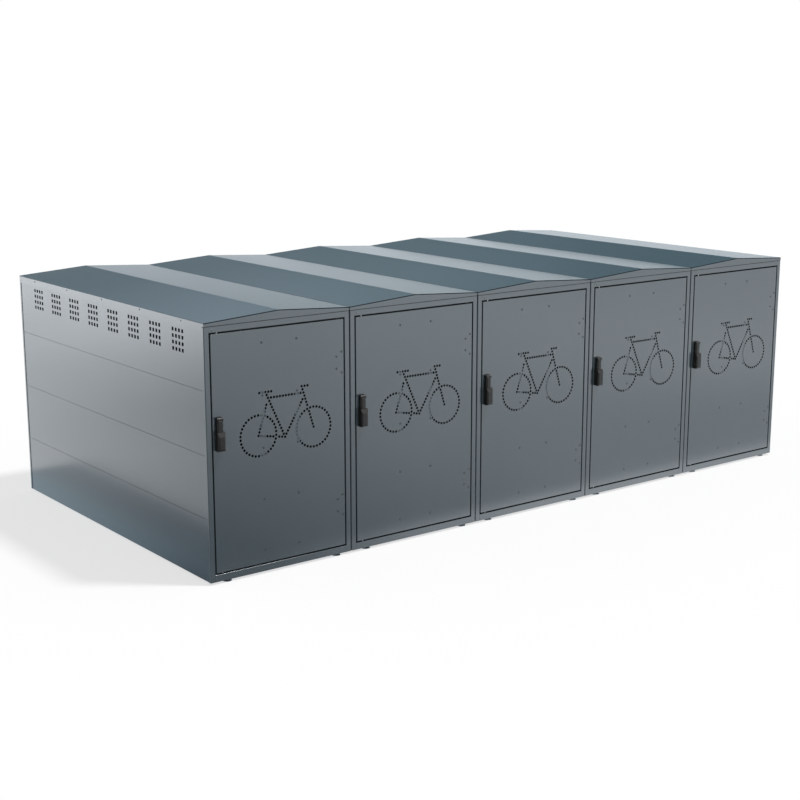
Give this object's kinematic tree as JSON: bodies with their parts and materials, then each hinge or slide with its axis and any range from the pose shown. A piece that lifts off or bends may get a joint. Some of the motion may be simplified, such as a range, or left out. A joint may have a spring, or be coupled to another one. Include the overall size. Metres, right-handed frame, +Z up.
{
  "type": "bicycle locker",
  "caption": "Bank of folded steel bicycle lockers under shallow gable roofs; each bay has a side-hung door with a dotted bicycle pictogram, a fold-out handle and a key lock.",
  "frame": {"origin": "on the floor, in the middle of the bank's footprint", "axes": "+X along the row of bays to the right seen from the front, +Y from the doors to the rear, +Z up"},
  "size_m": [4.099, 2.115, 1.288],
  "materials": {
    "frame_paint": "satin powder coat, slate grey",
    "door_paint": "satin powder coat, slate grey",
    "stiffener_paint": "satin powder coat, slate grey",
    "wall_paint": "satin powder coat, slate grey",
    "roof_paint": "satin powder coat, slate grey",
    "galvanised_steel": "galvanised",
    "hinge_steel": "zinc plated",
    "rod_steel": "bright zinc plated",
    "rivet_metal": "painted over, satin",
    "seal_rubber": "matt",
    "handle_black": "semi-gloss black",
    "lock_chrome": "dark chrome, satin"
  },
  "bodies": {
    "bank": {"front_posts": "frame_paint", "front_headers": "frame_paint", "front_sills": "frame_paint", "door_seals": "seal_rubber", "end_walls": "wall_paint", "partition_walls": "wall_paint", "rear_panels": "wall_paint", "rear_rails": "galvanised_steel", "floor_trays": "galvanised_steel", "wheel_guides": "galvanised_steel", "roof_caps": "roof_paint", "roof_rivets": "rivet_metal", "levelling_feet": "galvanised_steel", "frame_hinge_leaves": "hinge_steel", "hinge_pins": "hinge_steel"},
    "door_1": {"door_leaf_1": "door_paint", "door_stiffeners_1": "stiffener_paint", "door_hinge_leaves_1": "hinge_steel", "handle_base_1": "handle_black"},
    "lever_1": {"handle_lever_1": "handle_black"},
    "lock_1": {"lock_barrel_1": "lock_chrome", "latch_cam_1": "galvanised_steel"},
    "top_bolt_1": {"upper_rod_1": "rod_steel"},
    "bottom_bolt_1": {"lower_rod_1": "rod_steel"},
    "door_2": {"door_leaf_2": "door_paint", "door_stiffeners_2": "stiffener_paint", "door_hinge_leaves_2": "hinge_steel", "handle_base_2": "handle_black"},
    "lever_2": {"handle_lever_2": "handle_black"},
    "lock_2": {"lock_barrel_2": "lock_chrome", "latch_cam_2": "galvanised_steel"},
    "top_bolt_2": {"upper_rod_2": "rod_steel"},
    "bottom_bolt_2": {"lower_rod_2": "rod_steel"},
    "door_3": {"door_leaf_3": "door_paint", "door_stiffeners_3": "stiffener_paint", "door_hinge_leaves_3": "hinge_steel", "handle_base_3": "handle_black"},
    "lever_3": {"handle_lever_3": "handle_black"},
    "lock_3": {"lock_barrel_3": "lock_chrome", "latch_cam_3": "galvanised_steel"},
    "top_bolt_3": {"upper_rod_3": "rod_steel"},
    "bottom_bolt_3": {"lower_rod_3": "rod_steel"},
    "door_4": {"door_leaf_4": "door_paint", "door_stiffeners_4": "stiffener_paint", "door_hinge_leaves_4": "hinge_steel", "handle_base_4": "handle_black"},
    "lever_4": {"handle_lever_4": "handle_black"},
    "lock_4": {"lock_barrel_4": "lock_chrome", "latch_cam_4": "galvanised_steel"},
    "top_bolt_4": {"upper_rod_4": "rod_steel"},
    "bottom_bolt_4": {"lower_rod_4": "rod_steel"},
    "door_5": {"door_leaf_5": "door_paint", "door_stiffeners_5": "stiffener_paint", "door_hinge_leaves_5": "hinge_steel", "handle_base_5": "handle_black"},
    "lever_5": {"handle_lever_5": "handle_black"},
    "lock_5": {"lock_barrel_5": "lock_chrome", "latch_cam_5": "galvanised_steel"},
    "top_bolt_5": {"upper_rod_5": "rod_steel"},
    "bottom_bolt_5": {"lower_rod_5": "rod_steel"}
  },
  "joints": [
    {"name": "door_1_swing", "type": "hinge", "parent": "bank", "child": "door_1", "pos_m": [-1.2765, -1.0125, 0.6305], "axis": [0, 0, 1], "range_deg": [0, 105]},
    {"name": "lever_1_fold", "type": "hinge", "parent": "door_1", "child": "lever_1", "pos_m": [-1.982, -1.035, 0.805], "axis": [-1, 0, 0], "range_deg": [0, 60]},
    {"name": "lock_1_turn", "type": "hinge", "parent": "door_1", "child": "lock_1", "pos_m": [-1.982, -1.0225, 0.7], "axis": [0, -1, 0], "range_deg": [0, 90]},
    {"name": "top_bolt_1_slide", "type": "slide", "parent": "door_1", "child": "top_bolt_1", "axis": [0, 0, 1], "range_m": [0, 0.0227]},
    {"name": "bottom_bolt_1_slide", "type": "slide", "parent": "door_1", "child": "bottom_bolt_1", "axis": [0, 0, -1], "range_m": [0, 0.0226]},
    {"name": "door_2_swing", "type": "hinge", "parent": "bank", "child": "door_2", "pos_m": [-0.4565, -1.0125, 0.6305], "axis": [0, 0, 1], "range_deg": [0, 105]},
    {"name": "lever_2_fold", "type": "hinge", "parent": "door_2", "child": "lever_2", "pos_m": [-1.162, -1.035, 0.805], "axis": [-1, 0, 0], "range_deg": [0, 60]},
    {"name": "lock_2_turn", "type": "hinge", "parent": "door_2", "child": "lock_2", "pos_m": [-1.162, -1.0225, 0.7], "axis": [0, -1, 0], "range_deg": [0, 90]},
    {"name": "top_bolt_2_slide", "type": "slide", "parent": "door_2", "child": "top_bolt_2", "axis": [0, 0, 1], "range_m": [0, 0.0227]},
    {"name": "bottom_bolt_2_slide", "type": "slide", "parent": "door_2", "child": "bottom_bolt_2", "axis": [0, 0, -1], "range_m": [0, 0.0226]},
    {"name": "door_3_swing", "type": "hinge", "parent": "bank", "child": "door_3", "pos_m": [0.3635, -1.0125, 0.6305], "axis": [0, 0, 1], "range_deg": [0, 105]},
    {"name": "lever_3_fold", "type": "hinge", "parent": "door_3", "child": "lever_3", "pos_m": [-0.342, -1.035, 0.805], "axis": [-1, 0, 0], "range_deg": [0, 60]},
    {"name": "lock_3_turn", "type": "hinge", "parent": "door_3", "child": "lock_3", "pos_m": [-0.342, -1.0225, 0.7], "axis": [0, -1, 0], "range_deg": [0, 90]},
    {"name": "top_bolt_3_slide", "type": "slide", "parent": "door_3", "child": "top_bolt_3", "axis": [0, 0, 1], "range_m": [0, 0.0227]},
    {"name": "bottom_bolt_3_slide", "type": "slide", "parent": "door_3", "child": "bottom_bolt_3", "axis": [0, 0, -1], "range_m": [0, 0.0226]},
    {"name": "door_4_swing", "type": "hinge", "parent": "bank", "child": "door_4", "pos_m": [1.1835, -1.0125, 0.6305], "axis": [0, 0, 1], "range_deg": [0, 105]},
    {"name": "lever_4_fold", "type": "hinge", "parent": "door_4", "child": "lever_4", "pos_m": [0.478, -1.035, 0.805], "axis": [-1, 0, 0], "range_deg": [0, 60]},
    {"name": "lock_4_turn", "type": "hinge", "parent": "door_4", "child": "lock_4", "pos_m": [0.478, -1.0225, 0.7], "axis": [0, -1, 0], "range_deg": [0, 90]},
    {"name": "top_bolt_4_slide", "type": "slide", "parent": "door_4", "child": "top_bolt_4", "axis": [0, 0, 1], "range_m": [0, 0.0227]},
    {"name": "bottom_bolt_4_slide", "type": "slide", "parent": "door_4", "child": "bottom_bolt_4", "axis": [0, 0, -1], "range_m": [0, 0.0226]},
    {"name": "door_5_swing", "type": "hinge", "parent": "bank", "child": "door_5", "pos_m": [2.0035, -1.0125, 0.6305], "axis": [0, 0, 1], "range_deg": [0, 105]},
    {"name": "lever_5_fold", "type": "hinge", "parent": "door_5", "child": "lever_5", "pos_m": [1.298, -1.035, 0.805], "axis": [-1, 0, 0], "range_deg": [0, 60]},
    {"name": "lock_5_turn", "type": "hinge", "parent": "door_5", "child": "lock_5", "pos_m": [1.298, -1.0225, 0.7], "axis": [0, -1, 0], "range_deg": [0, 90]},
    {"name": "top_bolt_5_slide", "type": "slide", "parent": "door_5", "child": "top_bolt_5", "axis": [0, 0, 1], "range_m": [0, 0.0227]},
    {"name": "bottom_bolt_5_slide", "type": "slide", "parent": "door_5", "child": "bottom_bolt_5", "axis": [0, 0, -1], "range_m": [0, 0.0226]}
  ],
  "couplings": [
    {"joint": "lock_1_turn", "follows": "bottom_bolt_1_slide", "rad_per_m": 69.504},
    {"joint": "top_bolt_1_slide", "follows": "bottom_bolt_1_slide", "ratio": 1},
    {"joint": "lock_2_turn", "follows": "bottom_bolt_2_slide", "rad_per_m": 69.504},
    {"joint": "top_bolt_2_slide", "follows": "bottom_bolt_2_slide", "ratio": 1},
    {"joint": "lock_3_turn", "follows": "bottom_bolt_3_slide", "rad_per_m": 69.504},
    {"joint": "top_bolt_3_slide", "follows": "bottom_bolt_3_slide", "ratio": 1},
    {"joint": "lock_4_turn", "follows": "bottom_bolt_4_slide", "rad_per_m": 69.504},
    {"joint": "top_bolt_4_slide", "follows": "bottom_bolt_4_slide", "ratio": 1},
    {"joint": "lock_5_turn", "follows": "bottom_bolt_5_slide", "rad_per_m": 69.504},
    {"joint": "top_bolt_5_slide", "follows": "bottom_bolt_5_slide", "ratio": 1}
  ]
}
